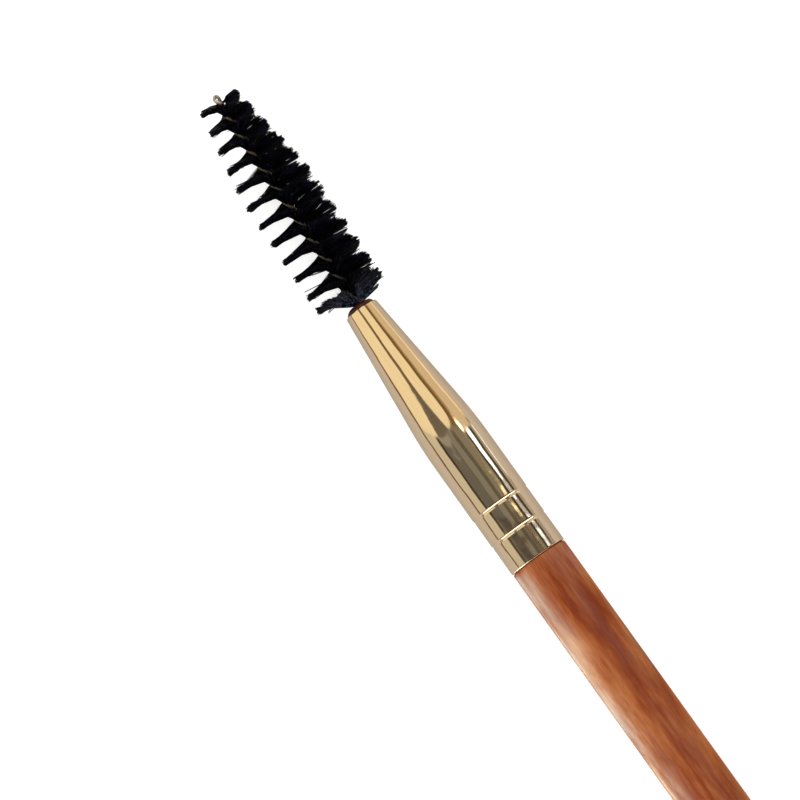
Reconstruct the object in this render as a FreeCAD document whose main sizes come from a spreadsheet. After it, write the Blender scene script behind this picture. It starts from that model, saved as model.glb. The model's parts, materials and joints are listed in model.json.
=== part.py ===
import FreeCAD, Part
import math
import os

import Sketcher
from FreeCAD import Placement, Rotation, Vector

# Mascara brush: a tapered bristle head on a twisted wire, glued into a thin aluminium ferrule
# that is crimped onto a turned wooden handle.
#
# Lengths are millimetres and angles are degrees. Each piece is drawn along X, with X = 0 at the
# mouth of the ferrule, the tail of the handle at +X and the bristle head at -X. The pieces are
# then laid down together as the brush rests: on its widest bristles and on its grip.

SIZES = (
    ("grip_diameter", 6.26, "handle, straight part"),
    ("grip_length", 70, "handle, from the shoulder to where it starts to thin"),
    ("taper_length", 43, "handle, thinning part"),
    ("tail_diameter", 4.2, "handle, before its rounded end"),
    ("tail_dome", 1.3, "handle, height of the rounded end"),
    ("shoulder_chamfer", 0.12, "handle, edge next to the ferrule"),
    ("tenon_stop", 0.7, "end of the tenon to the blend of the cone, inside the ferrule"),
    ("tenon_chamfer", 0.5, "handle, lead of the tenon"),
    ("tenon_clearance", 0.03, "tenon to ferrule, all round"),
    ("joint_gap", 0.1, "handle shoulder to the rear edge of the ferrule"),
    ("ferrule_length", 31, "mouth to rear edge"),
    ("ferrule_wall", 0.25, "metal thickness"),
    ("mouth_diameter", 3.65, "ferrule, outside"),
    ("mouth_chamfer", 0.08, "ferrule, outer edge of the mouth"),
    ("cone_length", 15.4, "ferrule, mouth to the corner with the barrel"),
    ("shoulder_blend", 2, "ferrule, blend each side of that corner"),
    ("barrel_diameter", 6.54, "ferrule, outside, up to the front crimp"),
    ("band_diameter", 6.43, "ferrule, outside, between the crimps"),
    ("collar_diameter", 6.36, "ferrule, outside, behind the rear crimp"),
    ("crimp_to_rear", 3.34, "rear crimp to the rear edge of the ferrule"),
    ("crimp_spacing", 3.14, "between the two rolled crimps"),
    ("crimp_width", 0.34, "rolled groove"),
    ("crimp_bite", 0.11, "rolled groove, depth"),
    ("glue_length", 6.5, "adhesive, depth behind the mouth"),
    ("glue_mound", 0.45, "adhesive, height in front of the mouth"),
    ("mound_diameter", 1.9, "adhesive, top of the mound"),
    ("glue_clearance", 0.01, "adhesive to ferrule and to wire"),
    ("wire_diameter", 0.34, "each strand"),
    ("wire_gap", 0.13, "between the strands, where they clamp the filaments"),
    ("wire_embedded", 5, "twisted wire held in the adhesive"),
    ("twist_pitch", 4.45, "one full turn of the strands, left handed"),
    ("twist_end", 26.85, "mouth to the start of the end loop"),
    ("level_tuft", 8.52, "mouth to a tuft that lies level"),
    ("head_diameter", 8.1, "over the bristles"),
    ("head_start", 0.6, "mouth to the first tuft"),
    ("head_end", 26.45, "mouth to the last tuft"),
    ("thinning_start", 16.6, "mouth to where the head starts to thin"),
    ("tip_diameter", 4.6, "over the last bristles"),
    ("tuft_thickness", 0.34, "along the wire"),
    ("tuft_web", 0.03, "width of a tuft where the strands clamp it"),
    ("tuft_tip", 0.45, "width of the cut end of a tuft"),
    ("tuft_notch", 0.55, "depth of the notches between tuft ends"),
    ("tuft_ragged", 0.2, "longest to shortest tuft"),
    ("tufts_per_turn", 16, "round the wire"),
    ("fan_length", 2.1, "length of the head where the tufts lean to the tip"),
    ("fan_lean", 16, "lean of the first tuft"),
    ("bristle_give", 0.06, "bend of the tips that carry the head, where it starts to thin"),
    ("head_lean", 1.1, "bend of the wire at the mouth, sideways as the brush lies"),
)

WIRE_SIDES = 8
WIRE_STEPS_PER_TURN = 8
LOOP_STEPS = 6
RAGGED_STEP = 2.4

GRIP_RADIUS = "sizes.grip_diameter / 2"
TAIL_RADIUS = "sizes.tail_diameter / 2"
TAIL_BEND = f"((sizes.tail_dome ^ 2 + ({TAIL_RADIUS}) ^ 2) / (2 * sizes.tail_dome))"
SHOULDER = "sizes.ferrule_length + sizes.joint_gap"
GRIP_END = f"{SHOULDER} + sizes.grip_length"
TAPER_END = f"{GRIP_END} + sizes.taper_length"
HANDLE_END = f"{TAPER_END} + sizes.tail_dome"

MOUTH_RADIUS = "sizes.mouth_diameter / 2"
BARREL_RADIUS = "sizes.barrel_diameter / 2"
BAND_RADIUS = "sizes.band_diameter / 2"
COLLAR_RADIUS = "sizes.collar_diameter / 2"
CONE_SLOPE = f"(({BARREL_RADIUS} - {MOUTH_RADIUS}) / sizes.cone_length)"
BLEND_START = "(sizes.cone_length - sizes.shoulder_blend)"
BLEND_END = "(sizes.cone_length + sizes.shoulder_blend)"
REAR_CRIMP = "sizes.ferrule_length - sizes.crimp_to_rear"
FRONT_CRIMP = f"{REAR_CRIMP} - sizes.crimp_spacing"
HALF_CRIMP = "sizes.crimp_width / 2"
CRIMPS = ((FRONT_CRIMP, BARREL_RADIUS, BAND_RADIUS), (REAR_CRIMP, BAND_RADIUS, COLLAR_RADIUS))

TENON_START = f"{BLEND_END} + sizes.tenon_stop"
TENON_RADIUS = f"{COLLAR_RADIUS} - sizes.ferrule_wall - sizes.tenon_clearance"

STRAND_RADIUS = "(sizes.wire_diameter + sizes.wire_gap) / 2"
CORE_RADIUS = f"({STRAND_RADIUS} + sizes.wire_diameter / 2)"
WIRE_HOLE_RADIUS = f"{CORE_RADIUS} + sizes.glue_clearance"
WIRE_HOLE_END = "sizes.wire_embedded + sizes.wire_diameter / 2"
GLUE_RADIUS = f"{MOUTH_RADIUS} - sizes.ferrule_wall - sizes.glue_clearance"

# The brush lies on its widest bristles, whose tips bend flat on the surface, and on the far end
# of the grip.
LYING_RADIUS = "(sizes.head_diameter / 2 - sizes.bristle_give)"
REST_TILT = f"atan(({LYING_RADIUS} - {GRIP_RADIUS}) / ({GRIP_END} + sizes.thinning_start))"
REST_HEIGHT = f"{LYING_RADIUS} * cos({REST_TILT}) - sizes.thinning_start * sin({REST_TILT})"
MIDDLE = f"({HANDLE_END} - sizes.twist_end - {CORE_RADIUS}) / 2"
REST_POSE = (
    f"placement(vector(-({MIDDLE}); 0; {REST_HEIGHT}); rotation(vector(0; 1; 0); {REST_TILT}))"
)


def make_sheet(doc):
    """Writes the driving dimensions, one to a row, and names each one."""
    sheet = doc.addObject("Spreadsheet::Sheet", "sizes")
    for row, (name, size, meaning) in enumerate(SIZES, start=1):
        sheet.set(f"A{row}", meaning)
        sheet.set(f"B{row}", str(size))
        sheet.setAlias(f"B{row}", name)
    doc.recompute()
    return sheet


def number(item, formula):
    """Works out a formula of the sheet as a plain number."""
    result = item.evalExpression(formula)
    return float(getattr(result, "Value", result))


def arc_through(start, end, bend):
    """Arc of radius bend from start to end that bulges left of the way it is drawn."""
    chord = end - start
    half = chord.Length / 2
    rise = bend - math.sqrt(bend * bend - half * half)
    left = Vector(-chord.y, chord.x, 0).normalize()
    return Part.Arc(start, (start + end) / 2 + left * rise, end)


def tie_corner(sketch, side, vertex, along, out):
    """Ties one corner to its two formulas, or to an axis where a formula is 0."""
    for formula, axis, kind in ((along, -2, "DistanceX"), (out, -1, "DistanceY")):
        if formula == "0":
            sketch.addConstraint(Sketcher.Constraint("PointOnObject", side, vertex, axis))
            continue
        size = number(sketch, formula)
        rule = sketch.addConstraint(Sketcher.Constraint(kind, -1, 1, side, vertex, size))
        sketch.setExpression(f"Constraints[{rule}]", formula)


def draw_section(body, name, corners):
    """Draws half of a turned piece's section, clockwise, from corners of (along, out) formulas.

    A third formula makes the side to the next corner an arc of that radius, bulging outwards.
    """
    sketch = body.newObject("Sketcher::SketchObject", name)
    plane = next(item for item in body.Origin.OriginFeatures if item.Role == "XZ_Plane")
    sketch.AttachmentSupport = [(plane, "")]
    sketch.MapMode = "FlatFace"
    points = [Vector(number(body, corner[0]), number(body, corner[1]), 0) for corner in corners]
    sides = []
    for index, (along, out, *bend) in enumerate(corners):
        start, end = points[index], points[(index + 1) % len(points)]
        curve = arc_through(start, end, number(body, bend[0])) if bend else Part.LineSegment(start, end)
        side = sketch.addGeometry(curve, False)
        first = 1 if sketch.getPoint(side, 1).isEqual(start, 1e-6) else 2
        tie_corner(sketch, side, first, along, out)
        if bend:
            rule = sketch.addConstraint(Sketcher.Constraint("Radius", side, number(body, bend[0])))
            sketch.setExpression(f"Constraints[{rule}]", bend[0])
        sides.append((side, first, 3 - first))
    for (side, _, last), (following, first, _) in zip(sides, sides[1:] + sides[:1]):
        sketch.addConstraint(Sketcher.Constraint("Coincident", side, last, following, first))
    return sketch


def turned_body(doc, label, corners):
    """Turns a section round the brush's axis and lays the piece in the resting pose."""
    body = doc.addObject("PartDesign::Body", label)
    body.Label = label
    section = draw_section(body, f"{label}_section", corners)
    feature = body.newObject("PartDesign::Revolution", f"{label}_turned")
    feature.Profile = section
    feature.ReferenceAxis = (section, ["H_Axis"])
    feature.Angle = 360
    body.setExpression("Placement", REST_POSE)
    doc.recompute()
    return body


def make_handle(doc):
    """Turned wood: a tenon with two crimp marks, a straight grip and a long taper to the tail."""
    marks = []
    for along, before, _ in CRIMPS:
        depth = f"{before} - sizes.crimp_bite - sizes.ferrule_wall - sizes.tenon_clearance"
        marks += [
            (f"{along} - {HALF_CRIMP}", TENON_RADIUS),
            (along, depth),
            (f"{along} + {HALF_CRIMP}", TENON_RADIUS),
        ]
    corners = (
        (TENON_START, "0"),
        (TENON_START, f"{TENON_RADIUS} - sizes.tenon_chamfer"),
        (f"{TENON_START} + sizes.tenon_chamfer", TENON_RADIUS),
        *marks,
        (SHOULDER, TENON_RADIUS),
        (SHOULDER, f"{GRIP_RADIUS} - sizes.shoulder_chamfer"),
        (f"{SHOULDER} + sizes.shoulder_chamfer", GRIP_RADIUS),
        (GRIP_END, GRIP_RADIUS),
        (TAPER_END, TAIL_RADIUS, TAIL_BEND),
        (HANDLE_END, "0"),
    )
    return turned_body(doc, "handle", corners)


def make_ferrule(doc):
    """Drawn aluminium tube: cone, barrel and collar, of one wall, with two crimps rolled in."""
    outside = [
        (BLEND_START, f"{MOUTH_RADIUS} + {CONE_SLOPE} * {BLEND_START}"),
        (BLEND_END, BARREL_RADIUS),
    ]
    for along, before, after in CRIMPS:
        outside += [
            (f"{along} - {HALF_CRIMP}", before),
            (along, f"{before} - sizes.crimp_bite"),
            (f"{along} + {HALF_CRIMP}", after),
        ]
    outside.append(("sizes.ferrule_length", COLLAR_RADIUS))
    inside = [(along, f"{out} - sizes.ferrule_wall") for along, out in reversed(outside)]
    corners = (
        ("0", f"{MOUTH_RADIUS} - sizes.mouth_chamfer"),
        ("sizes.mouth_chamfer", f"{MOUTH_RADIUS} + {CONE_SLOPE} * sizes.mouth_chamfer"),
        *outside,
        *inside,
        ("0", f"{MOUTH_RADIUS} - sizes.ferrule_wall"),
    )
    return turned_body(doc, "ferrule", corners)


def make_glue_plug(doc):
    """Adhesive that fills the cone and mounds up at the mouth, with the hole for the wire."""
    corners = (
        ("-sizes.glue_mound", WIRE_HOLE_RADIUS),
        ("-sizes.glue_mound", "sizes.mound_diameter / 2"),
        ("0", GLUE_RADIUS),
        ("sizes.glue_length", f"{GLUE_RADIUS} + {CONE_SLOPE} * sizes.glue_length"),
        ("sizes.glue_length", "0"),
        (WIRE_HOLE_END, "0"),
        (WIRE_HOLE_END, WIRE_HOLE_RADIUS),
    )
    return turned_body(doc, "glue_plug", corners)


def twist_angle(sheet, height):
    """Angle round the axis, in radians, of a filament this far in front of the mouth."""
    return 2 * math.pi * (height - sheet.level_tuft) / sheet.twist_pitch


def head_bend(sheet):
    """Turn about the mouth that bends the wire head sideways."""
    return Placement(Vector(0, 0, 0), Rotation(Vector(0, 0, 1), -sheet.head_lean))


def strand_line(sheet, quarter_turn):
    """Points along one strand, from its buried end to the end loop, bent in front of the mouth."""
    radius = number(sheet, STRAND_RADIUS)
    length = sheet.twist_end + sheet.wire_embedded
    steps = round(length / sheet.twist_pitch * WIRE_STEPS_PER_TURN)
    points = []
    for step in range(steps + 1):
        height = length * step / steps - sheet.wire_embedded
        angle = twist_angle(sheet, height) + quarter_turn
        point = Vector(-height, radius * math.cos(angle), radius * math.sin(angle))
        points.append(head_bend(sheet).multVec(point) if height > 0 else point)
    return points


def hairpin_line(sheet):
    """Centre line of the whole wire: up one strand, round the end loop and down the other."""
    up, down = strand_line(sheet, math.pi / 2), strand_line(sheet, -math.pi / 2)
    middle = (up[-1] + down[-1]) / 2
    side = up[-1] - middle
    forward = head_bend(sheet).Rotation.multVec(Vector(-side.Length, 0, 0))
    loop = []
    for step in range(1, LOOP_STEPS):
        angle = math.pi * step / LOOP_STEPS
        loop.append(middle + side * math.cos(angle) + forward * math.sin(angle))
    return Part.makePolygon([*up, *loop, *reversed(down)])


def make_wire_stem(doc, sheet):
    """Iron wire bent into a hairpin and twisted on itself, swept along its centre line."""
    line = doc.addObject("Part::Feature", "wire_line")
    line.Shape = hairpin_line(sheet)
    start, following = (vertex.Point for vertex in line.Shape.Vertexes[:2])
    section = doc.addObject("Part::RegularPolygon", "wire_section")
    section.Polygon = WIRE_SIDES
    section.setExpression("Circumradius", "sizes.wire_diameter / 2")
    section.Placement = Placement(start, Rotation(Vector(0, 0, 1), following - start))
    sweep = doc.addObject("Part::Sweep", "wire_stem")
    sweep.Label = "wire_stem"
    sweep.Sections = [section]
    sweep.Spine = (line, [f"Edge{index}" for index in range(1, len(line.Shape.Edges) + 1)])
    sweep.Solid = True
    sweep.Transition = "Right corner"
    sweep.setExpression("Placement", REST_POSE)
    doc.recompute()
    return sweep


def head_reach(sheet, height):
    """Radius over the bristles this far in front of the mouth."""
    thinned = (height - sheet.thinning_start) / (sheet.head_end - sheet.thinning_start)
    lost = (sheet.head_diameter - sheet.tip_diameter) * max(thinned, 0)
    return (sheet.head_diameter - lost) / 2


def tuft(sheet, reach):
    """Flat wedge of filaments from the core out along X, with a narrower cut end."""
    shoulder = reach - sheet.tuft_notch
    half_width = shoulder * math.tan(math.pi / sheet.tufts_per_turn)
    side = [
        Vector(0, sheet.tuft_web / 2, 0),
        Vector(shoulder, half_width, 0),
        Vector(reach, sheet.tuft_tip / 2, 0),
    ]
    other_side = [Vector(point.x, -point.y, 0) for point in reversed(side)]
    face = Part.Face(Part.makePolygon([*side, *other_side, side[0]]))
    face.translate(Vector(0, 0, -sheet.tuft_thickness / 2))
    return face.extrude(Vector(0, 0, sheet.tuft_thickness))


def under_surface(sheet):
    """Block under the surface that the brush lies on, seen from the brush."""
    wide = sheet.head_diameter
    block = Part.makeBox(2 * sheet.head_end, 2 * wide, wide)
    block.translate(Vector(number(sheet, f"-({MIDDLE})") - 2 * sheet.head_end, -wide, -wide))
    pose = sheet.evalExpression(REST_POSE)
    block.Placement = pose.inverse() * block.Placement
    return block


def make_bristles(doc, sheet):
    """Nylon filaments clamped across the wire, gathered into tufts that wind round it."""
    rise = sheet.twist_pitch / sheet.tufts_per_turn
    to_tip = Vector(-1, 0, 0)
    tufts = []
    for index in range(int((sheet.head_end - sheet.head_start) / rise) + 1):
        height = sheet.head_start + rise * index
        short = sheet.tuft_ragged * (0.5 + 0.5 * math.sin(RAGGED_STEP * index))
        lean = math.radians(sheet.fan_lean * max(1 - height / sheet.fan_length, 0))
        for angle in (twist_angle(sheet, height), twist_angle(sheet, height) + math.pi):
            radial = Vector(0, math.cos(angle), math.sin(angle))
            outward = radial * math.cos(lean) + to_tip * math.sin(lean)
            across = to_tip * math.cos(lean) - radial * math.sin(lean)
            turned = Rotation(outward, across.cross(outward), across, "XZY")
            piece = tuft(sheet, head_reach(sheet, height) - short)
            piece.Placement = head_bend(sheet) * Placement(to_tip * height, turned)
            tufts.append(piece)
    feature = doc.addObject("Part::Feature", "bristles")
    feature.Label = "bristles"
    feature.Shape = tufts[0].multiFuse(tufts[1:]).cut(under_surface(sheet)).removeSplitter()
    feature.setExpression("Placement", REST_POSE)
    doc.recompute()
    return feature


def check(doc, nodes):
    """Stops on a failed object, and on a piece that isn't one sound solid."""
    failed = [item.Label for item in doc.Objects if {"Invalid", "Error"} & set(item.State)]
    if failed:
        raise RuntimeError(f"failed: {failed}")
    for node in nodes:
        shape = node.Shape
        if shape.isNull() or not shape.isValid() or len(shape.Solids) != 1:
            raise RuntimeError(f"{node.Label} isn't one valid solid")


def main():
    """Builds the brush and writes one file for each piece."""
    os.makedirs("parts", exist_ok=True)
    doc = FreeCAD.newDocument("mascara_brush")
    sheet = make_sheet(doc)
    nodes = [
        make_handle(doc),
        make_ferrule(doc),
        make_glue_plug(doc),
        make_wire_stem(doc, sheet),
        make_bristles(doc, sheet),
    ]
    check(doc, nodes)
    for node in nodes:
        node.Shape.exportStep(f"parts/{node.Label}.step")
        print(f"{node.Label}: {node.Shape.Volume:.2f} cubic millimetres")


main()
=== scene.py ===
"""A mascara brush lying on a plain floor, seen from above.

Each piece of the brush is a dataclass that holds its sizes, builds its mesh along the brush's own
axis, in metres, and dresses it. On those axes X = 0 is the mouth of the ferrule, the tail of the handle
is at +X and the bristle head at -X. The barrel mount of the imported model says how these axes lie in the
row's frame.
"""

import json
import logging
import math
import random
from collections.abc import Callable, Iterable, Sequence
from dataclasses import dataclass
from enum import Enum
from typing import ClassVar

import bmesh
import bpy
from mathutils import Matrix, Vector, noise

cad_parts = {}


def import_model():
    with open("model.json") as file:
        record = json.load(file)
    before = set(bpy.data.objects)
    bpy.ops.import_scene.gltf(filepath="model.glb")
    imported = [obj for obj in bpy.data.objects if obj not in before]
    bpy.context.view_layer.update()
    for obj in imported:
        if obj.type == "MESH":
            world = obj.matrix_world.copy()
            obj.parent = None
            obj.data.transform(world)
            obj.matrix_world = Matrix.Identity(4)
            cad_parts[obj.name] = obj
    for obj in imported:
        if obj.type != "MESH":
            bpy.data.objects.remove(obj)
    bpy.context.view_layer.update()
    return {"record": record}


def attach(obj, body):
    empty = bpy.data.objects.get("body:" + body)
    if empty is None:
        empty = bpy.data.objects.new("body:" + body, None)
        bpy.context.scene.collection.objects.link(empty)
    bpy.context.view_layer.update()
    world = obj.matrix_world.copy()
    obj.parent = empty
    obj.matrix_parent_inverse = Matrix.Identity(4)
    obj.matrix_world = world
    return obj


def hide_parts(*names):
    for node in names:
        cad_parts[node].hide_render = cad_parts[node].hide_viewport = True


MM = 0.001
TOUCH = 1e-7
ROOT = "root"

log = logging.getLogger("mascara_brush")

Ring = tuple[float, float]
Line = list[tuple[Vector, float]]


class Slot(Enum):
    """Material slots of the record, one of which each piece names."""

    WOOD = "wood"
    GOLD = "gold_aluminium"
    GLUE = "glue"
    WIRE = "wire"
    NYLON = "nylon"


class Show(Enum):
    """Which rays a stage object is seen by."""

    EVERYTHING = ("camera", "diffuse", "glossy", "transmission", "shadow")
    REFLECTION = ("glossy",)


class Signal:
    """Output socket, with operators that add the Math nodes they stand for."""

    def __init__(self, nodes: "Nodes", socket: bpy.types.NodeSocket) -> None:
        """Wraps a socket.

        Args:
            nodes: The nodes that the socket belongs to.
            socket: The output socket.
        """
        self.nodes = nodes
        self.socket = socket

    def _math(self, operation: str, *values: "Signal | float") -> "Signal":
        """Adds one Math node and returns its output."""
        return self.nodes.node("ShaderNodeMath", {"operation": operation}, dict(enumerate(values)))

    def __add__(self, other: "Signal | float") -> "Signal":
        """Sum."""
        return self._math("ADD", self, other)

    __radd__ = __add__

    def __sub__(self, other: "Signal | float") -> "Signal":
        """Difference."""
        return self._math("SUBTRACT", self, other)

    def __rsub__(self, other: float) -> "Signal":
        """Difference from a number."""
        return self._math("SUBTRACT", other, self)

    def __mul__(self, other: "Signal | float") -> "Signal":
        """Product."""
        return self._math("MULTIPLY", self, other)

    __rmul__ = __mul__

    def limited(self) -> "Signal":
        """The same value held between 0 and 1."""
        return self._math("MINIMUM", self._math("MAXIMUM", self, 0.0), 1.0)


Input = Signal | float | tuple


class Nodes:
    """Nodes of a material or a world."""

    def __init__(self, owner: bpy.types.Material | bpy.types.World) -> None:
        """Empties the owner's node tree.

        Args:
            owner: The material or world.
        """
        owner.use_nodes = True
        self.tree = owner.node_tree
        self.tree.nodes.clear()

    def node(
        self,
        kind: str,
        settings: dict[str, object],
        inputs: dict[str | int, Input],
        output: str | int = 0,
    ) -> Signal | None:
        """Adds a node.

        Args:
            kind: The node's type.
            settings: Its properties, set before its sockets, with a ramp's stops under "stops".
            inputs: A value or a link for each socket, by name or number.
            output: The output that is wanted, by name or number.

        Returns:
            That output, or nothing where the node has no output.
        """
        made = self.tree.nodes.new(kind)
        for key, value in settings.items():
            if key == "stops":
                self._set_stops(made.color_ramp, value)
            else:
                setattr(made, key, value)
        for key, value in inputs.items():
            if isinstance(value, Signal):
                self.tree.links.new(value.socket, made.inputs[key])
            else:
                made.inputs[key].default_value = value
        return Signal(self, made.outputs[output]) if made.outputs else None

    @staticmethod
    def _set_stops(ramp: bpy.types.ColorRamp, stops: Sequence[tuple[float, tuple]]) -> None:
        """Gives a ramp its stops.

        Args:
            ramp: The ramp, with no more stops than are wanted.
            stops: Each stop's place and colour.
        """
        while len(ramp.elements) < len(stops):
            ramp.elements.new(1.0)
        for element, (place, colour) in zip(ramp.elements, stops):
            element.position = place
            element.color = colour


class Finish(Nodes):
    """Node-based material of one surface."""

    def __init__(self, name: str) -> None:
        """Starts an empty material.

        Args:
            name: The material's name.
        """
        self.material = bpy.data.materials.new(name)
        super().__init__(self.material)

    def places(self, scale: tuple, turn: tuple = (0.0, 0.0, 0.0)) -> Signal:
        """Object coordinates, stretched and turned.

        Args:
            scale: Pattern units to a metre along each axis.
            turn: Turn about each axis, in degrees.

        Returns:
            The coordinates.
        """
        here = self.node("ShaderNodeTexCoord", {}, {}, "Object")
        turned = tuple(math.radians(angle) for angle in turn)
        return self.node("ShaderNodeMapping", {}, {"Vector": here, "Rotation": turned, "Scale": scale})

    def along(self) -> Signal:
        """Place along the row's X axis, in metres."""
        return self.node("ShaderNodeSeparateXYZ", {}, {"Vector": self.places((1, 1, 1))}, "X")

    def clouds(self, where: Signal, detail: float, rough: float = 0.5) -> Signal:
        """Noise between 0 and 1.

        Args:
            where: Coordinates in pattern units.
            detail: Number of finer layers.
            rough: Strength of the finer layers.

        Returns:
            The noise.
        """
        inputs = {"Vector": where, "Scale": 1.0, "Detail": detail, "Roughness": rough}
        return self.node("ShaderNodeTexNoise", {}, inputs, "Fac")

    def ramp(self, value: Signal, stops: Sequence[tuple[float, tuple]]) -> Signal:
        """Colour that a value picks from a ramp."""
        return self.node("ShaderNodeValToRGB", {"stops": stops}, {"Fac": value}, "Color")

    def step(self, value: Signal, low: float, high: float) -> Signal:
        """0 below low, 1 above high, and smooth between."""
        inputs = {"Value": value, "From Min": low, "From Max": high}
        return self.node("ShaderNodeMapRange", {"interpolation_type": "SMOOTHSTEP"}, inputs, "Result")

    def mix(self, amount: Signal, first: Input, second: Input) -> Signal:
        """Blends two colours, with the amount as the share of the second."""
        inputs = {0: amount, 6: first, 7: second}
        return self.node("ShaderNodeMix", {"data_type": "RGBA"}, inputs, 2)

    def bump(self, height: Signal, strength: float, distance: float) -> Signal:
        """Normal that follows a height.

        Args:
            height: Height between 0 and 1.
            strength: Share of the effect.
            distance: Height of 1, in metres.

        Returns:
            The normal.
        """
        inputs = {"Height": height, "Strength": strength, "Distance": distance}
        return self.node("ShaderNodeBump", {}, inputs, "Normal")

    def surface(self, **inputs: Input) -> bpy.types.Material:
        """Ends the material in a Principled surface.

        Args:
            **inputs: A value or a link for each socket, with its name's spaces as underscores.

        Returns:
            The finished material.
        """
        named = {key.replace("_", " "): value for key, value in inputs.items()}
        shader = self.node("ShaderNodeBsdfPrincipled", {}, named)
        self.node("ShaderNodeOutputMaterial", {}, {"Surface": shader})
        return self.material


def colour(red: float, green: float, blue: float) -> tuple[float, float, float, float]:
    """Colour from the 0 to 255 values that a screen shows.

    Args:
        red: Red, 0 to 255.
        green: Green, 0 to 255.
        blue: Blue, 0 to 255.

    Returns:
        The linear colour with an alpha of 1.
    """
    shares = (value / 255 for value in (red, green, blue))
    linear = (
        share / 12.92 if share <= 0.04045 else ((share + 0.055) / 1.055) ** 2.4 for share in shares
    )
    return (*linear, 1.0)


@dataclass(frozen=True)
class LacqueredWood:
    """Red-brown wood under a clear, worn lacquer, with its grain along the handle.

    The scales are pattern units to a metre, and the slant is in degrees.
    """

    dark: tuple = colour(122, 46, 14)
    middle: tuple = colour(144, 68, 28)
    light: tuple = colour(170, 98, 52)
    pore: tuple = colour(112, 42, 16)
    slant: tuple = (0.0, 1.2, 2.4)
    band_scale: tuple = (120, 460, 460)
    streak_scale: tuple = (190, 2400, 2400)
    fibre_scale: tuple = (420, 9000, 9000)
    pore_scale: tuple = (520, 8200, 8200)
    wear_scale: tuple = (160, 700, 700)
    pore_depth: float = 0.55
    least_lacquer: float = 0.2
    relief: float = 0.03 * MM

    def make(self) -> bpy.types.Material:
        """Builds the material.

        Returns:
            The material.
        """
        finish = Finish("lacquered_wood")
        bands = finish.clouds(finish.places(self.band_scale, self.slant), 3, 0.6)
        streaks = finish.clouds(finish.places(self.streak_scale, self.slant), 5, 0.7)
        fibres = finish.clouds(finish.places(self.fibre_scale, self.slant), 3, 0.6)
        tone = (bands * 0.75 + streaks * 0.32 + fibres * 0.12 - 0.1).limited()
        grain = finish.ramp(tone, ((0.38, self.dark), (0.49, self.middle), (0.62, self.light)))
        dashes = finish.clouds(finish.places(self.pore_scale, self.slant), 2)
        pores = finish.step(dashes, 0.64, 0.72) * self.pore_depth
        wear = finish.clouds(finish.places(self.wear_scale, self.slant), 4, 0.65)
        return finish.surface(
            Base_Color=finish.mix(pores, grain, self.pore),
            Roughness=0.42 + fibres * 0.22,
            Specular_IOR_Level=0.03,
            Normal=finish.bump(streaks + fibres * 0.6, 0.35, self.relief),
            Coat_Weight=finish.step(wear, 0.3, 0.7) * 0.75 + self.least_lacquer,
            Coat_Roughness=0.34,
        )


@dataclass(frozen=True)
class AnodisedGold:
    """Thin drawn aluminium, polished and anodised a pale gold, with soft dents.

    The scales are pattern units to a metre.
    """

    metal: tuple = colour(228, 205, 177)
    deeper: tuple = colour(219, 192, 158)
    drawn_scale: tuple = (30, 3800, 3800)
    dent_scale: tuple = (260, 420, 420)
    dent_depth: float = 0.09 * MM

    def make(self) -> bpy.types.Material:
        """Builds the material.

        Returns:
            The material.
        """
        finish = Finish("anodised_gold")
        drawn = finish.clouds(finish.places(self.drawn_scale), 3, 0.6)
        dents = finish.clouds(finish.places(self.dent_scale), 1.5)
        return finish.surface(
            Base_Color=finish.mix(drawn, self.metal, self.deeper),
            Metallic=1.0,
            Roughness=0.05 + drawn * 0.05,
            Normal=finish.bump(dents + drawn * 0.02, 0.6, self.dent_depth),
        )


@dataclass(frozen=True)
class SetGlue:
    """Dark red-brown adhesive that has set glossy."""

    body: tuple = colour(52, 24, 16)
    thin: tuple = colour(86, 40, 24)
    lump_scale: tuple = (1500, 1500, 1500)
    relief: float = 0.05 * MM

    def make(self) -> bpy.types.Material:
        """Builds the material.

        Returns:
            The material.
        """
        finish = Finish("set_glue")
        lumps = finish.clouds(finish.places(self.lump_scale), 3)
        return finish.surface(
            Base_Color=finish.mix(lumps, self.body, self.thin),
            Roughness=0.18 + lumps * 0.15,
            Normal=finish.bump(lumps, 0.5, self.relief),
        )


@dataclass(frozen=True)
class DrawnWire:
    """Bare soft wire, with painted shade where it runs between the filaments.

    The head's end is a place on the row's X axis, and the painted shade fades out before it.
    """

    head_end: float
    metal: tuple = colour(200, 188, 178)
    dull: tuple = colour(146, 136, 127)
    # Painted shade: a darker colour for the wire where the filaments shade it.
    painted_shade: tuple = colour(120, 110, 102)
    fade: float = 0.6 * MM
    stain_scale: tuple = (1800, 1800, 1800)
    relief: float = 0.01 * MM

    def make(self) -> bpy.types.Material:
        """Builds the material.

        Returns:
            The material.
        """
        finish = Finish("drawn_wire")
        stains = finish.clouds(finish.places(self.stain_scale), 4, 0.6)
        bare = finish.mix(stains, self.metal, self.dull)
        # Painted shade: the wire's colour darkens inside the bristle head, where the filaments shade it.
        inside = finish.step(finish.along(), self.head_end, self.head_end + self.fade)
        return finish.surface(
            Base_Color=finish.mix(inside, bare, self.painted_shade),
            Metallic=0.85,
            Roughness=0.3 + stains * 0.25,
            Normal=finish.bump(stains, 0.3, self.relief),
        )


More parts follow.
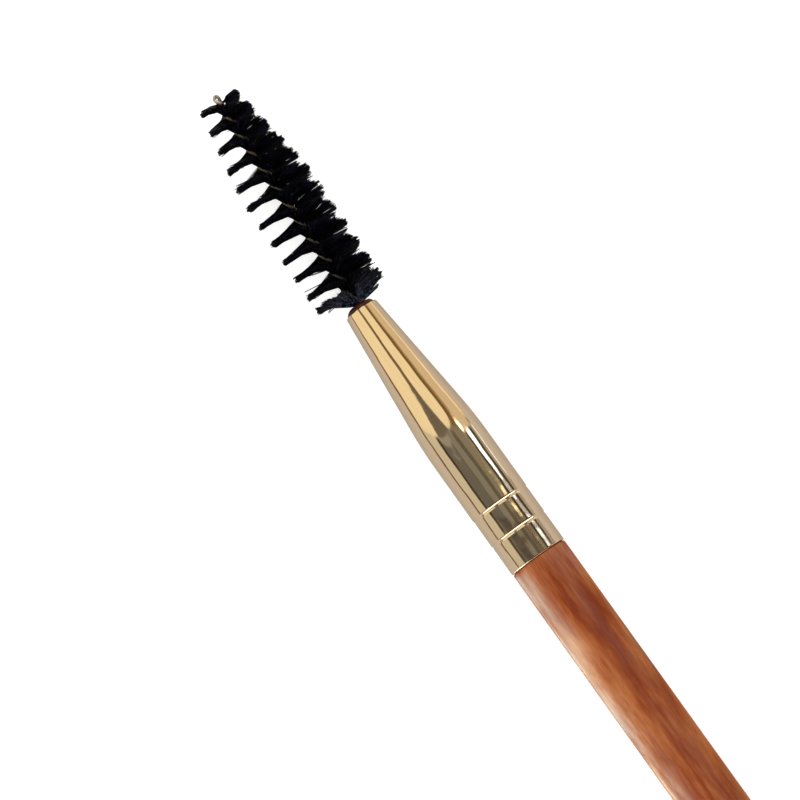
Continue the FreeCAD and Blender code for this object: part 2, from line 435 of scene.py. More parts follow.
@dataclass(frozen=True)
class BlackNylon:
    """Black nylon filaments with a faint blue tone, and a paler painted sheen where they fan out.

    The fan's start and the mouth are places on the row's X axis, between which the painted sheen grows.
    """

    fan_start: float
    mouth: float
    black: tuple = colour(2, 2, 4)
    blue: tuple = colour(14, 16, 36)
    # Painted sheen: a paler blue-grey colour that stands in for highlights on the fanned filaments.
    sheen: tuple = colour(84, 96, 122)
    tuft_scale: tuple = (900, 900, 900)
    streak_scale: tuple = (2600, 3400, 3400)
    gloss: float = 0.6

    def make(self) -> bpy.types.Material:
        """Builds the material.

        Returns:
            The material.
        """
        finish = Finish("black_nylon")
        tufts = finish.clouds(finish.places(self.tuft_scale), 2)
        plain = finish.mix(finish.step(tufts, 0.45, 0.7), self.black, self.blue)
        streaks = finish.step(finish.clouds(finish.places(self.streak_scale), 2), 0.47, 0.62)
        # Painted sheen: paler streaks in the base colour near the mouth, with a real coat on the same
        # streaks.
        bright = finish.step(finish.along(), self.fan_start, self.mouth) * streaks
        return finish.surface(
            Base_Color=finish.mix(bright, plain, self.sheen),
            Roughness=0.3 + tufts * 0.2,
            Specular_IOR_Level=0.1,
            Coat_Weight=bright * self.gloss,
            Coat_Roughness=0.3,
        )


@dataclass(frozen=True)
class FloorPaper:
    """Paper that is lifted to white behind the brush and keeps its shadow."""

    paper: tuple = (0.7, 0.7, 0.7, 1.0)
    greyer: tuple = (0.6, 0.6, 0.6, 1.0)
    white: tuple = (1.0, 1.0, 1.0, 1.0)
    fibre_scale: tuple = (900, 900, 900)
    fibre_share: float = 0.05
    lift: float = 0.65

    def make(self) -> bpy.types.Material:
        """Builds the material.

        Returns:
            The material.
        """
        finish = Finish("floor_paper")
        straight = finish.node("ShaderNodeLightPath", {}, {}, "Is Camera Ray")
        fibres = finish.clouds(finish.places(self.fibre_scale), 3)
        return finish.surface(
            Base_Color=finish.mix(fibres * self.fibre_share, self.paper, self.greyer),
            Roughness=0.9,
            Specular_IOR_Level=0.0,
            Emission_Color=self.white,
            Emission_Strength=straight * self.lift,
        )


@dataclass(frozen=True)
class Lie:
    """How the brush's own axes lie in the row's frame."""

    matrix: Matrix

    @classmethod
    def from_record(cls, record: dict, barrel_middle: float) -> "Lie":
        """Reads it from the barrel mount.

        Args:
            record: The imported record.
            barrel_middle: The mount's place behind the mouth, in metres.

        Returns:
            The lie of the brush.
        """
        mount = next(item for item in record["mounts"] if item["name"] == "barrel")
        tailward = -Vector(mount["axis"]).normalized()
        side = Vector((0, 0, 1)).cross(tailward).normalized()
        turn = Matrix((tailward, side, tailward.cross(side))).transposed().to_4x4()
        mouth = Vector(mount["pos_m"]) - tailward * barrel_middle
        return cls(Matrix.Translation(mouth) @ turn)

    def place(self, along: float, side: float = 0.0, up: float = 0.0) -> Vector:
        """Point of the row's frame for a point on the brush's own axes."""
        return self.matrix @ Vector((along, side, up))


@dataclass(frozen=True)
class Sizes:
    """Sizes that more than one piece uses. Places are behind the mouth of the ferrule."""

    ferrule_length: float = 31 * MM
    wall: float = 0.25 * MM
    mouth_radius: float = 1.825 * MM
    cone_length: float = 15.4 * MM
    blend: float = 2 * MM
    barrel_radius: float = 3.27 * MM
    band_radius: float = 3.215 * MM
    collar_radius: float = 3.18 * MM
    front_crimp: float = 24.52 * MM
    rear_crimp: float = 27.66 * MM
    crimp_width: float = 0.34 * MM
    crimp_bite: float = 0.11 * MM
    twist_pitch: float = 4.45 * MM
    level_tuft: float = 8.52 * MM
    head_lean: float = math.radians(1.1)

    @property
    def barrel_middle(self) -> float:
        """Middle of the barrel, from the end of the blend to the front crimp."""
        return (self.cone_length + self.blend + self.front_crimp - self.crimp_width / 2) / 2

    @property
    def crimps(self) -> tuple[tuple[float, float, float], ...]:
        """Each crimp's place and the radii before and after it."""
        front = (self.front_crimp, self.barrel_radius, self.band_radius)
        return front, (self.rear_crimp, self.band_radius, self.collar_radius)

    @property
    def cone_slope(self) -> float:
        """Growth of the cone's radius for each metre along it."""
        return (self.barrel_radius - self.mouth_radius) / self.cone_length

    @property
    def head_bend(self) -> Matrix:
        """Sideways bend of the wire at the mouth."""
        return Matrix.Rotation(-self.head_lean, 4, "Z")

    def twist_angle(self, height: float) -> float:
        """Angle of a filament round the axis.

        Args:
            height: Its place in front of the mouth.

        Returns:
            The angle in radians, from the +Y axis.
        """
        return math.tau * (height - self.level_tuft) / self.twist_pitch


SIZES = Sizes()


@dataclass(frozen=True)
class Piece:
    """A piece of the brush, with its lie and its finish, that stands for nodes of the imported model."""

    name: ClassVar[str]
    nodes: ClassVar[tuple[str, ...]]
    slot: ClassVar[Slot]

    lie: Lie
    material: bpy.types.Material

    def mesh(self) -> bpy.types.Mesh:
        """Builds the mesh on the brush's own axes."""
        raise NotImplementedError

    def settle(self, mesh: bpy.types.Mesh) -> None:
        """Changes the mesh where it meets the floor, once it is laid down."""

    def build(self) -> bpy.types.Object:
        """Builds, dresses and lays down the piece, and ties it to the frame.

        Returns:
            The piece.
        """
        mesh = self.mesh()
        mesh.transform(self.lie.matrix)
        self.settle(mesh)
        mesh.materials.clear()
        mesh.materials.append(self.material)
        mesh.shade_smooth()
        piece = bpy.data.objects.new(self.name, mesh)
        bpy.context.scene.collection.objects.link(piece)
        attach(piece, ROOT)
        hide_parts(*self.nodes)
        log.info("%s: %d triangles", self.name, sum(len(face.vertices) - 2 for face in mesh.polygons))
        return piece


@dataclass(frozen=True)
class TurnedPiece(Piece):
    """A piece that is round about the brush's axis."""

    steps: int = 128

    def turned(self, outline: Sequence[Ring], closed: bool) -> bmesh.types.BMesh:
        """Spins an outline about the axis.

        Args:
            outline: Places along the axis and radii.
            closed: Whether the last point joins the first, as on a tube.

        Returns:
            The shell, with its faces outwards.
        """
        shell = bmesh.new()
        line = [shell.verts.new((along, 0.0, radius)) for along, radius in outline]
        ends = zip(line, line[1:] + line[:1]) if closed else zip(line, line[1:])
        edges = [shell.edges.new(pair) for pair in ends]
        bmesh.ops.spin(
            shell,
            geom=[*line, *edges],
            cent=(0, 0, 0),
            axis=(1, 0, 0),
            angle=math.tau,
            steps=self.steps,
            use_merge=True,
        )
        bmesh.ops.remove_doubles(shell, verts=shell.verts, dist=TOUCH)
        bmesh.ops.recalc_face_normals(shell, faces=shell.faces)
        return shell

    def to_mesh(self, shell: bmesh.types.BMesh) -> bpy.types.Mesh:
        """Turns the finished shell into the piece's mesh.

        Args:
            shell: The shell, which is freed.

        Returns:
            The mesh.
        """
        mesh = bpy.data.meshes.new(self.name)
        shell.to_mesh(mesh)
        shell.free()
        return mesh

    @staticmethod
    def soften(shell: bmesh.types.BMesh, ring: Ring, width: float, segments: int) -> None:
        """Rounds one ring of edges.

        Args:
            shell: The shell.
            ring: The ring's place along the axis and its radius.
            width: Width of the rounding on each side of the ring.
            segments: Number of steps across it.
        """

        def on_ring(vert: bmesh.types.BMVert) -> bool:
            """Whether a corner lies on the ring."""
            reach = math.hypot(vert.co.y, vert.co.z)
            return abs(vert.co.x - ring[0]) < TOUCH and abs(reach - ring[1]) < TOUCH

        edges = [edge for edge in shell.edges if all(map(on_ring, edge.verts))]
        bmesh.ops.bevel(
            shell,
            geom=edges,
            offset=width,
            offset_type="OFFSET",
            affect="EDGES",
            segments=segments,
            profile=0.5,
            material=-1,
            clamp_overlap=True,
        )


@dataclass(frozen=True)
class Handle(TurnedPiece):
    """Turned wooden handle: tenon, straight grip and thinning tail.

    A plain border behind the rounded edge of the shoulder keeps the reflections on the grip straight.
    """

    name = "handle_turned"
    nodes = ("handle",)
    slot = Slot.WOOD

    tenon_start: float = 18.1 * MM
    tenon_radius: float = 2.9 * MM
    tenon_chamfer: float = 0.5 * MM
    shoulder: float = 31.1 * MM
    grip_radius: float = 3.13 * MM
    grip_end: float = 101.1 * MM
    taper_end: float = 144.1 * MM
    tail_radius: float = 2.1 * MM
    tail_dome: float = 1.3 * MM
    edge: float = 0.14 * MM
    edge_border: float = 0.42 * MM
    edge_steps: int = 5
    taper_blend: float = 12 * MM
    taper_steps: int = 12
    dome_steps: int = 10

    def mesh(self) -> bpy.types.Mesh:
        """Builds the mesh on the brush's own axes.

        Returns:
            The mesh.
        """
        outline = [
            (self.tenon_start, 0.0),
            (self.tenon_start, self.tenon_radius - self.tenon_chamfer),
            (self.tenon_start + self.tenon_chamfer, self.tenon_radius),
            (self.shoulder, self.tenon_radius),
            (self.shoulder, self.grip_radius),
            (self.shoulder + self.edge_border, self.grip_radius),
            (self.grip_end, self.grip_radius),
            *self.tail(),
        ]
        shell = self.turned(outline, closed=False)
        self.soften(shell, (self.shoulder, self.grip_radius), self.edge, self.edge_steps)
        self.soften(shell, (self.grip_end, self.grip_radius), self.taper_blend, self.taper_steps)
        return self.to_mesh(shell)

    def tail(self) -> list[Ring]:
        """Makes the rounded end.

        Returns:
            Its rings, from the end of the taper to the tip of the tail.
        """
        bend = (self.tail_dome**2 + self.tail_radius**2) / (2 * self.tail_dome)
        centre = self.taper_end + self.tail_dome - bend
        first = math.asin(self.tail_radius / bend)
        turns = [first * (1 - step / self.dome_steps) for step in range(self.dome_steps + 1)]
        return [(centre + bend * math.cos(turn), bend * math.sin(turn)) for turn in turns]


@dataclass(frozen=True)
class Ferrule(TurnedPiece):
    """Drawn tube: a cone, a barrel, and two rolled crimps with a slight bulge between them.

    A plain border beside each crimp and before the rim keeps the reflections on the tube straight.
    """

    name = "ferrule_drawn"
    nodes = ("ferrule",)
    slot = Slot.GOLD

    border: float = 0.12 * MM
    bulge: float = 0.02 * MM
    lip_round: float = 0.24 * MM
    lip_steps: int = 5
    bulge_round: float = 1.1 * MM
    bulge_steps: int = 6
    shoulder_round: float = 0.05 * MM
    valley_round: float = 0.06 * MM
    rim_round: float = 0.03 * MM
    edge_steps: int = 4
    blend_steps: int = 10

    def mesh(self) -> bpy.types.Mesh:
        """Builds the mesh on the brush's own axes.

        Returns:
            The mesh.
        """
        mouth = (0.0, SIZES.mouth_radius)
        cone_end = (SIZES.cone_length, SIZES.barrel_radius)
        front, rear = (self.crimp(*crimp) for crimp in SIZES.crimps)
        bulge = ((SIZES.front_crimp + SIZES.rear_crimp) / 2, SIZES.band_radius + self.bulge)
        rim = (SIZES.ferrule_length, SIZES.collar_radius)
        before_rim = (SIZES.ferrule_length - self.border, SIZES.collar_radius)
        outside = [mouth, cone_end, *front, bulge, *rear, before_rim, rim]
        inside = [(along, radius - SIZES.wall) for along, radius in reversed(outside)]
        shell = self.turned([*outside, *inside], closed=True)
        for first_shoulder, valley, last_shoulder in (front[1:-1], rear[1:-1]):
            self.soften(shell, first_shoulder, self.shoulder_round, self.edge_steps)
            self.soften(shell, valley, self.valley_round, self.edge_steps)
            self.soften(shell, last_shoulder, self.shoulder_round, self.edge_steps)
        self.soften(shell, bulge, self.bulge_round, self.bulge_steps)
        for depth in (0.0, SIZES.wall):
            ring = (SIZES.cone_length, SIZES.barrel_radius - depth)
            self.soften(shell, ring, SIZES.blend, self.blend_steps)
        self.soften(shell, mouth, self.lip_round, self.lip_steps)
        self.soften(shell, rim, self.rim_round, self.edge_steps)
        return self.to_mesh(shell)

    def crimp(self, along: float, before: float, after: float) -> list[Ring]:
        """Makes one crimp.

        Args:
            along: Its place.
            before: The tube's radius in front of it.
            after: The tube's radius behind it.

        Returns:
            Its rings: a border, a shoulder, the valley, a shoulder and a border.
        """
        half = SIZES.crimp_width / 2
        edge = half + self.border
        start = [(along - edge, before), (along - half, before)]
        valley = (along, before - SIZES.crimp_bite)
        end = [(along + half, after), (along + edge, after)]
        return [*start, valley, *end]


@dataclass(frozen=True)
class GluePlug(TurnedPiece):
    """Adhesive in the cone, mounded up at the mouth round the wire."""

    name = "glue_mound"
    nodes = ("glue_plug",)
    slot = Slot.GLUE

    clearance: float = 0.01 * MM
    length: float = 6.5 * MM
    hole_radius: float = 0.415 * MM
    hole_end: float = 5.2 * MM
    hole_rim: float = 0.423 * MM
    mound_height: float = 0.47 * MM
    mound_radius: float = 0.95 * MM
    mound_steps: int = 8
    lumps: float = 0.07 * MM
    lump_size: float = 0.7 * MM

    def mesh(self) -> bpy.types.Mesh:
        """Builds the mesh on the brush's own axes.

        Returns:
            The mesh.
        """
        base = SIZES.mouth_radius - SIZES.wall - self.clearance
        outline = [
            (-self.hole_rim, self.hole_radius),
            *self.mound(base),
            (self.length, base + SIZES.cone_slope * self.length),
            (self.length, 0.0),
            (self.hole_end, 0.0),
            (self.hole_end, self.hole_radius),
        ]
        shell = self.turned(outline, closed=True)
        for vert in shell.verts:
            if vert.co.x < -self.clearance:
                share = noise.noise(vert.co / self.lump_size)
                vert.co.x = min(vert.co.x + self.lumps * share, -self.clearance)
        return self.to_mesh(shell)

    def mound(self, base: float) -> list[Ring]:
        """Makes the mound in front of the mouth.

        Args:
            base: Its radius at the mouth.

        Returns:
            Its rings, from its top to the mouth.
        """
        rings = []
        for step in range(self.mound_steps + 1):
            turn = math.pi / 2 * step / self.mound_steps
            radius = self.mound_radius + (base - self.mound_radius) * math.sin(turn)
            rings.append((-self.mound_height * math.cos(turn), radius))
        return rings


def swept(name: str, lines: Iterable[Line], radius: float, roundness: int) -> bpy.types.Mesh:
    """Sweeps a round section along lines.

    Args:
        name: Name of the mesh.
        lines: Each line's points, each with its share of the radius.
        radius: The section's radius.
        roundness: Blender's bevel resolution of the section.

    Returns:
        The mesh, with its ends closed.
    """
    curve = bpy.data.curves.new(name, "CURVE")
    curve.dimensions = "3D"
    curve.bevel_depth = radius
    curve.bevel_resolution = roundness
    curve.use_fill_caps = True
    for line in lines:
        spline = curve.splines.new("POLY")
        spline.points.add(len(line) - 1)
        spline.points.foreach_set("co", [value for point, _ in line for value in (*point, 1.0)])
        spline.points.foreach_set("radius", [share for _, share in line])
    carrier = bpy.data.objects.new(name, curve)
    mesh = bpy.data.meshes.new_from_object(carrier)
    bpy.data.objects.remove(carrier)
    bpy.data.curves.remove(curve)
    return mesh


@dataclass(frozen=True)
class WireStem(Piece):
    """Hairpin of wire twisted on itself, with its bend as the end loop.

    The strands stand a little further apart where the filaments are clamped between them.
    """

    name = "wire_twisted"
    nodes = ("wire_stem",)
    slot = Slot.WIRE

    wire_radius: float = 0.19 * MM
    strand_radius: float = 0.235 * MM
    swell: float = 0.12 * MM
    swell_length: float = 2.5 * MM
    embedded: float = 5 * MM
    twist_end: float = 26.72 * MM
    loop_bulge: float = 0.12 * MM
    last_turn: float = math.radians(50)
    last_turn_length: float = 0.8 * MM
    steps_per_turn: int = 20
    loop_steps: int = 12
    roundness: int = 3

    def mesh(self) -> bpy.types.Mesh:
        """Builds the mesh on the brush's own axes.

        Returns:
            The mesh.
        """
        up = self.strand(math.pi / 2)
        down = self.strand(-math.pi / 2)
        line = [*up, *self.loop(up[-1], down[-1]), *reversed(down)]
        return swept(self.name, [[(point, 1.0) for point in line]], self.wire_radius, self.roundness)

    def strand(self, quarter_turn: float) -> list[Vector]:
        """Makes one strand.

        Args:
            quarter_turn: Its angle from the filaments at the same height.

        Returns:
            Points from the buried end to the start of the loop.
        """
        length = self.twist_end + self.embedded
        steps = round(length / SIZES.twist_pitch * self.steps_per_turn)
        points = []
        for step in range(steps + 1):
            height = length * step / steps - self.embedded
            last = max(1 - (self.twist_end - height) / self.last_turn_length, 0.0)
            angle = SIZES.twist_angle(height) + quarter_turn + self.last_turn * last
            inside = max(min(height, self.twist_end - height) / self.swell_length, 0.0)
            radius = self.strand_radius + self.swell * min(inside, 1.0)
            across = Vector((0, math.cos(angle), math.sin(angle))) * radius
            point = Vector((-height, 0, 0)) + across
            points.append(SIZES.head_bend @ point if height > 0 else point)
        return points

    def loop(self, start: Vector, end: Vector) -> list[Vector]:
        """Makes the end loop.

        Args:
            start: End of the first strand.
            end: End of the second strand.

        Returns:
            Points between the two.
        """
        middle = (start + end) / 2
        side = start - middle
        forward = SIZES.head_bend.to_3x3() @ Vector((-side.length - self.loop_bulge, 0, 0))
        points = []
        for step in range(1, self.loop_steps):
            turn = math.pi * step / self.loop_steps
            points.append(middle + side * math.cos(turn) + forward * math.sin(turn))
        return points


@dataclass(frozen=True)
class BristleHead(Piece):
    """Nylon filaments clamped across the wire, in a double spiral of clumps.

    The wire holds them in a wide sheet, set back towards the mouth, and they gather into ribs outside
    it. Those nearest the mouth have worked loose and fan out.
    """

    name = "bristle_filaments"
    nodes = ("bristles",)
    slot = Slot.NYLON

    clumps: int = 600
    clump_size: int = 6
    filament_radius: float = 0.055 * MM
    roundness: int = 0
    tip_share: float = 0.75
    clamp_reach: float = 0.45 * MM
    gather_reach: float = 0.95 * MM
    root_half_width: float = 0.64 * MM
    root_setback: float = 0.46 * MM
    sheet_half_thickness: float = 0.1 * MM
    rib_half_width: float = 0.27 * MM
    tip_squeeze: float = 0.12 * MM
    head_start: float = 0.6 * MM
    head_end: float = 26.4 * MM
    reach: float = 4.0 * MM
    tip_reach: float = 2.35 * MM
    thinning_start: float = 16.6 * MM
    fan_length: float = 2.5 * MM
    fan_lean: float = math.radians(40)
    fan_lean_right: float = 0.6
    loose_length: float = 1.3 * MM
    loose_turn: float = math.radians(150)
    clump_width: float = 0.05 * MM
    clump_drift: float = 0.075 * MM
    filament_drift: float = 0.07 * MM
    stray_share: float = 0.006
    stray_drift: float = 0.28 * MM
    clump_turn: float = math.radians(2.5)
    filament_turn: float = math.radians(4)
    clump_cut: float = 0.9
    filament_cut: tuple[float, float] = (0.95, 1.04)
    seed: int = 20

    def mesh(self) -> bpy.types.Mesh:
        """Builds the mesh on the brush's own axes.

        Returns:
            The mesh.
        """
        draw = random.Random(self.seed)
        lines = []
        for index in range(self.clumps):
            share = (index + draw.random()) / self.clumps
            height = self.head_start + (self.head_end - self.head_start) * share
            lines += self.clump(draw, height)
        return swept(self.name, lines, self.filament_radius, self.roundness)

    def clump(self, draw: random.Random, height: float) -> list[Line]:
        """Makes the filaments of one clump, each clamped at its middle.

        Args:
            draw: Source of the scatter.
            height: The clump's place in front of the mouth.

        Returns:
            Each filament's points, from one tip to the other.
        """
        drifts = [draw.gauss(0, self.clump_drift) for _ in range(2)]
        turns = [draw.gauss(0, self.clump_turn) for _ in range(2)]
        cut = draw.uniform(self.clump_cut, 1.0)
        off_middle = draw.uniform(-1.0, 1.0)
        loose = off_middle * self.loose_turn * max(1 - height / self.loose_length, 0.0)
        setback = off_middle * (self.root_half_width - self.rib_half_width) - self.root_setback
        lines = []
        for _ in range(self.clump_size):
            own_height = height + off_middle * self.rib_half_width + draw.gauss(0, self.clump_width)
            lift = draw.uniform(-1.0, 1.0) * self.sheet_half_thickness
            halves = []
            for side in range(2):
                angle = SIZES.twist_angle(height) + math.pi * side + loose
                angle += turns[side] + draw.gauss(0, self.filament_turn)
                strayed = draw.random() < self.stray_share
                drift = drifts[side] - off_middle * self.tip_squeeze
                drift += draw.gauss(0, self.stray_drift if strayed else self.filament_drift)
                length = self.head_reach(own_height) * min(cut * draw.uniform(*self.filament_cut), 1.0)
                halves.append(self.half(own_height, angle, (setback, lift), drift, length))
                lift = -lift
            lines.append([*reversed(halves[0]), *halves[1][1:]])
        return lines

    def head_reach(self, height: float) -> float:
        """Radius over the bristles at a height in front of the mouth."""
        thinned = (height - self.thinning_start) / (self.head_end - self.thinning_start)
        return self.reach - (self.reach - self.tip_reach) * max(thinned, 0.0)

    def lean(self, height: float, angle: float) -> float:
        """How far a filament leans towards the tip of the head.

        Args:
            height: Its place in front of the mouth.
            angle: Its direction round the wire.

        Returns:
            The angle in radians, more on the left as the photograph shows the brush.
        """
        leftward = 0.5 - 0.5 * math.cos(angle)
        share = self.fan_lean_right + (1 - self.fan_lean_right) * leftward
        return self.fan_lean * share * max(1 - height / self.fan_length, 0.0)

    def half(
        self, height: float, angle: float, root: tuple[float, float], drift: float, length: float
    ) -> Line:
        """Makes half of a filament, from the wire to its tip.

        Args:
            height: Its place in front of the mouth, outside the wire.
            angle: Its direction round the wire.
            root: How much nearer to the tip the wire clamps it, and its place across the clamped sheet.
            drift: How far its tip strays along the wire.
            length: Its reach from the axis.

        Returns:
            Its points with their shares of the radius.
        """
        setback, lift = root
        lean = self.lean(height, angle)
        across = Vector((0, -math.sin(angle), math.cos(angle))) * lift
        straight = Vector((0, math.cos(angle), math.sin(angle)))
        leaning = straight * math.cos(lean) - Vector((math.sin(lean), 0, 0))
        points = []
        for out in (0.0, self.clamp_reach, self.gather_reach, length):
            share = out / length
            stray = drift * share**1.5 + (setback if out <= self.clamp_reach else 0.0)
            point = Vector((-height - stray, 0, 0)) + across
            point += straight * min(out, self.gather_reach)
            point += leaning * max(out - self.gather_reach, 0.0)
            point.x = min(point.x, -self.head_start)
            points.append((SIZES.head_bend @ point, 1 - (1 - self.tip_share) * share**3))
        return points

    def settle(self, mesh: bpy.types.Mesh) -> None:
        """Bends the tips that reach the floor so that they lie on it."""
        for vert in mesh.vertices:
            vert.co.z = max(vert.co.z, 0.0)


@dataclass(frozen=True)
class Card:
    """Curved reflector: a part of a tunnel round the brush's axis, from one place to another.

    Angles are in degrees from straight up, towards the brush's +Y side. The finger is how far the
    corners of the card's second end move towards the bristle head, or towards the tail where it is
    negative, which rounds that end. The slack is how far the spin may move a corner along the axis.
    """

    name: str
    from_angle: float
    to_angle: float
    from_along: float
    to_along: float
    tint: tuple[float, float, float]
    finger: float = 0.0
    radius: float = 0.4

    steps: ClassVar[int] = 12
    slack: ClassVar[float] = 1e-6

    def build(self, lie: Lie) -> bpy.types.Object:
        """Builds the card, which only reflections see.

        Args:
            lie: How the brush lies.

        Returns:
            The card.
        """
        mesh = self.mesh()
        mesh.transform(lie.matrix)
        finish = Finish(self.name)
        glow = finish.node("ShaderNodeEmission", {}, {"Color": (*self.tint, 1.0), "Strength": 1.0})
        finish.node("ShaderNodeOutputMaterial", {}, {"Surface": glow})
        mesh.materials.append(finish.material)
        card = bpy.data.objects.new(self.name, mesh)
        bpy.context.scene.collection.objects.link(card)
        show(card, Show.REFLECTION)
        return card

    def mesh(self) -> bpy.types.Mesh:
        """Builds the card's mesh on the brush's own axes.

        Returns:
            The mesh.
        """
        shell = bmesh.new()
        first = math.radians(self.from_angle)
        start = Vector((0, math.sin(first), math.cos(first))) * self.radius
        ends = [shell.verts.new((along, start.y, start.z)) for along in (self.from_along, self.to_along)]
        edge = shell.edges.new(ends)
        bmesh.ops.spin(
            shell,
            geom=[*ends, edge],
            cent=(0, 0, 0),
            axis=(-1, 0, 0),
            angle=math.radians(self.to_angle - self.from_angle),
            steps=self.steps,
        )
        for vert in shell.verts:
            if abs(vert.co.x - self.to_along) < self.slack:
                angle = math.degrees(math.atan2(vert.co.y, vert.co.z))
                off_middle = 2 * (angle - self.from_angle) / (self.to_angle - self.from_angle) - 1
                vert.co.x -= self.finger * off_middle**2
        mesh = bpy.data.meshes.new(self.name)
        shell.to_mesh(mesh)
        shell.free()
        return mesh


def show(thing: bpy.types.Object, rays: Show) -> None:
    """Lets only the named rays see a stage object."""
    for kind in Show.EVERYTHING.value:
        setattr(thing, f"visible_{kind}", kind in rays.value)


@dataclass(frozen=True)
class Studio:
    """Floor, backdrop, lamps, reflector cards and the camera.

    Cards at about 0.4 m stand before or behind each other by their radius. The metal reflects the cards
    round the head on its cone and the others on its barrel, band and collar. Five cards close to the
    sides of the grip give its lacquer a sheen without lighting the metal next to it.
    """

    lie: Lie
    floor_size: float = 4.0
    lamp_distance: float = 0.6
    ambient: tuple = (0.95, 0.9, 0.82, 1.0)
    ambient_strength: float = 0.5
    white: tuple = (1.0, 1.0, 1.0, 1.0)

    cards: ClassVar[tuple[Card, ...]] = (
        Card("card_left_edge", -90, -84, -0.045, 0.01, (0.22, 0.13, 0.07), radius=0.39),
        Card("card_left", -83, -55, -0.1, 0.01, (0.78, 0.78, 0.66), radius=0.405),
        Card("card_left_line", -54, -46, -0.066, 0.01, (0.07, 0.06, 0.045)),
        Card("card_left_grey", -44, -8, -0.07, -0.028, (0.4, 0.41, 0.38), finger=0.024),
        Card("card_overhead_dark", -46, -12, -0.075, 0.01, (0.18, 0.185, 0.17), radius=0.405),
        Card("card_overhead", -12, 6, -0.066, 0.01, (0.29, 0.3, 0.26), radius=0.402),
        Card("card_overhead_right", 6, 18, -0.066, 0.01, (0.16, 0.155, 0.125)),
        Card("card_right", 18, 47, -0.06, 0.01, (0.3, 0.29, 0.23)),
        Card("card_window_edge", 47, 54, -0.06, 0.01, (0.05, 0.05, 0.05)),
        Card("card_window", 54, 67, -0.05, -0.011, (2.3, 2.9, 3.6), finger=0.014),
        Card("card_window_rear", 54, 67, 0.0, 0.006, (2.0, 2.6, 3.2), finger=0.003),
        Card("card_far_edge", 68, 77, -0.045, 0.01, (0.07, 0.07, 0.06)),
        Card("card_far", 77, 85, -0.045, 0.01, (0.5, 0.47, 0.4)),
        Card("card_far_window", 86, 90, -0.045, -0.012, (1.5, 1.7, 1.9)),
        Card("card_band_lamp", 33, 44, -0.0078, -0.0012, (3.0, 2.6, 1.8), finger=0.002, radius=0.39),
        Card("card_tail_blob", -42, -6, 0.0, 0.0058, (0.06, 0.055, 0.05), finger=0.004, radius=0.39),
        Card("card_tail_blob_right", 14, 50, 0.0, 0.0058, (0.07, 0.065, 0.06), finger=0.004, radius=0.39),
        Card("card_head_left", -82, -22, -0.4, -0.066, (1.15, 1.08, 0.77), finger=0.022),
        Card("card_head_middle", -9, 31, -0.4, -0.064, (1.15, 1.08, 0.77), finger=0.022),
        Card("card_head_shadow", -42, 6, -0.062, -0.136, (0.2, 0.185, 0.15), finger=-0.076, radius=0.39),
        Card("card_head_next_line", 31, 43, -0.4, -0.045, (0.24, 0.15, 0.06)),
        Card("card_head_right_line", 43, 50, -0.4, -0.045, (0.5, 0.38, 0.2)),
        Card("card_head_right", 50, 84, -0.4, -0.045, (0.84, 0.73, 0.52)),
        Card("card_head_far_line", 84, 90, -0.4, -0.06, (1.4, 1.2, 0.75)),
        Card("card_head_lamp", 42, 51, -0.064, -0.048, (4.5, 4.1, 3.2), finger=0.006, radius=0.39),
        Card("card_head_behind", -90, 90, -0.4, -0.045, (0.26, 0.19, 0.11), radius=0.45),
        Card("card_head_end", -90, 90, -3.0, -0.5, (2.8, 2.8, 2.9)),
        Card("card_tail_end", -90, 90, 0.35, 3.0, (2.8, 2.8, 2.9)),
        Card("card_grip_floor", -118, -80, 0.0312, 0.15, (3.7, 5.0, 4.3), radius=0.0062),
        Card("card_grip_sheen", -80, -56, 0.0312, 0.15, (6.0, 8.6, 7.2), radius=0.0062),
        Card("card_grip_sheen_edge", -56, -44, 0.0312, 0.15, (3.2, 4.6, 4.0), radius=0.0062),
        Card("card_grip_sheen_end", -44, -30, 0.0312, 0.15, (1.5, 2.2, 1.9), radius=0.0062),
        Card("card_tail_overhead", -40, 66, 0.0102, 0.35, (0.12, 0.08, 0.04)),
        Card("card_grip_right", 50, 112, 0.0345, 0.15, (1.3, 0.9, 0.35), radius=0.0062),
    )

    def build(self) -> None:
        """Builds the whole stage."""
        self.make_floor()
        self.make_world()
        for card in self.cards:
            card.build(self.lie)
        self.make_lamp("lamp_left", (-60, 25), power=3.0, size=0.5)
        self.make_lamp("lamp_right", (45, -10), power=2.0, size=0.6)
        PhotoCamera().build(self.lie)
        bpy.context.scene.view_settings.view_transform = "Standard"

    def make_floor(self) -> None:
        """Lays white paper under the brush."""
        shell = bmesh.new()
        bmesh.ops.create_grid(shell, x_segments=1, y_segments=1, size=self.floor_size / 2)
        mesh = bpy.data.meshes.new("floor")
        shell.to_mesh(mesh)
        shell.free()
        mesh.materials.append(FloorPaper().make())
        floor = bpy.data.objects.new("floor", mesh)
        bpy.context.scene.collection.objects.link(floor)

    def make_world(self) -> None:
        """Gives the scene a white backdrop and an even, slightly warm light."""
        world = bpy.data.worlds.new("studio")
        bpy.context.scene.world = world
        nodes = Nodes(world)
        straight = nodes.node("ShaderNodeLightPath", {}, {}, "Is Camera Ray")
        lit = {"Color": self.ambient, "Strength": self.ambient_strength}
        ambient = nodes.node("ShaderNodeBackground", {}, lit)
        backdrop = nodes.node("ShaderNodeBackground", {}, {"Color": self.white, "Strength": 1.0})
        shown = nodes.node("ShaderNodeMixShader", {}, {0: straight, 1: ambient, 2: backdrop})
        nodes.node("ShaderNodeOutputWorld", {}, {"Surface": shown})

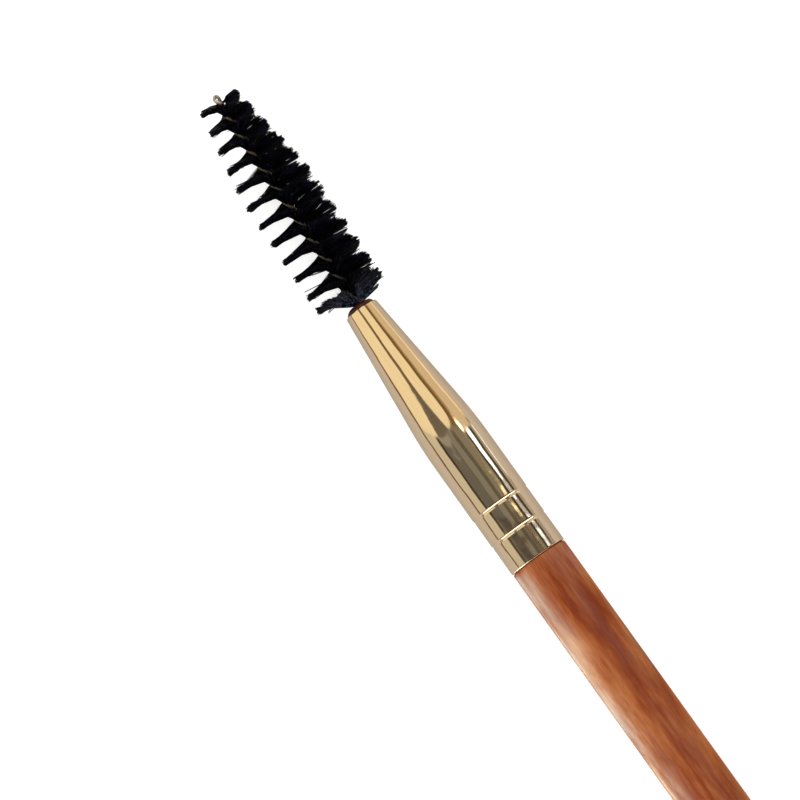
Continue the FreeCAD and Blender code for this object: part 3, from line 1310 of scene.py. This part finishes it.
    def make_lamp(self, name: str, direction: tuple[float, float], power: float, size: float) -> None:
        """Hangs a soft lamp that points at the brush.

        Args:
            name: Name of the lamp.
            direction: Degrees from straight up, towards the brush's +Y side and its tail.
            power: Power in watts.
            size: Side of the square lamp, in metres.
        """
        data = bpy.data.lights.new(name, "AREA")
        data.energy = power
        data.size = size
        across, along = (math.radians(angle) for angle in direction)
        way = Vector((0, math.sin(across), math.cos(across))) * math.cos(along)
        way.x = math.sin(along)
        lamp = bpy.data.objects.new(name, data)
        lamp.location = way * self.lamp_distance
        lamp.rotation_mode = "QUATERNION"
        lamp.rotation_quaternion = way.to_track_quat("Z", "Y")
        lamp.visible_glossy = False
        bpy.context.scene.collection.objects.link(lamp)


@dataclass(frozen=True)
class PhotoCamera:
    """Camera that looks down on the brush, as the photograph does.

    Its foot is the place behind the mouth that it stands over. It aims beside the axis, at the middle
    of the picture, in which the brush slopes down to the right.
    """

    height: float = 250 * MM
    foot: float = 44.6 * MM
    aim_along: float = 9.925 * MM
    aim_side: float = -2.127 * MM
    slope: float = math.radians(54.493)
    lens: float = 111.98
    sensor: float = 36.0
    nearest: float = 2.5 * MM

    def build(self, lie: Lie) -> None:
        """Makes the scene's camera.

        Args:
            lie: How the brush lies.
        """
        eye = lie.place(self.foot, self.aim_side, self.height)
        aim = lie.place(self.aim_along, self.aim_side)
        back = (eye - aim).normalized()
        brush = (lie.place(1.0) - lie.place(0.0)).normalized()
        tailward = (brush - back * brush.dot(back)).normalized()
        side = back.cross(tailward)
        right = tailward * math.cos(self.slope) + side * math.sin(self.slope)
        up = side * math.cos(self.slope) - tailward * math.sin(self.slope)
        turn = Matrix((right, up, back)).transposed().to_4x4()
        data = bpy.data.cameras.new("camera")
        data.lens = self.lens
        data.sensor_width = self.sensor
        data.sensor_fit = "HORIZONTAL"
        data.clip_start = self.nearest
        camera = bpy.data.objects.new("camera", data)
        camera.matrix_world = Matrix.Translation(eye) @ turn
        bpy.context.scene.collection.objects.link(camera)
        bpy.context.scene.camera = camera


def main() -> None:
    """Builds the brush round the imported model, and the studio round the brush."""
    logging.basicConfig(level=logging.INFO, format="%(name)s: %(message)s")
    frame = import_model()
    lie = Lie.from_record(frame["record"], SIZES.barrel_middle)
    head_end, fan_start, mouth = (
        lie.place(-height).x for height in (BristleHead.head_end, BristleHead.fan_length, 0.0)
    )
    parts: tuple[tuple[type[Piece], Callable[[], bpy.types.Material]], ...] = (
        (Handle, LacqueredWood().make),
        (Ferrule, AnodisedGold().make),
        (GluePlug, SetGlue().make),
        (WireStem, DrawnWire(head_end).make),
        (BristleHead, BlackNylon(fan_start, mouth).make),
    )
    for part, finish in parts:
        part(lie, finish()).build()
    Studio(lie).build()


if __name__ == "__main__":
    main()
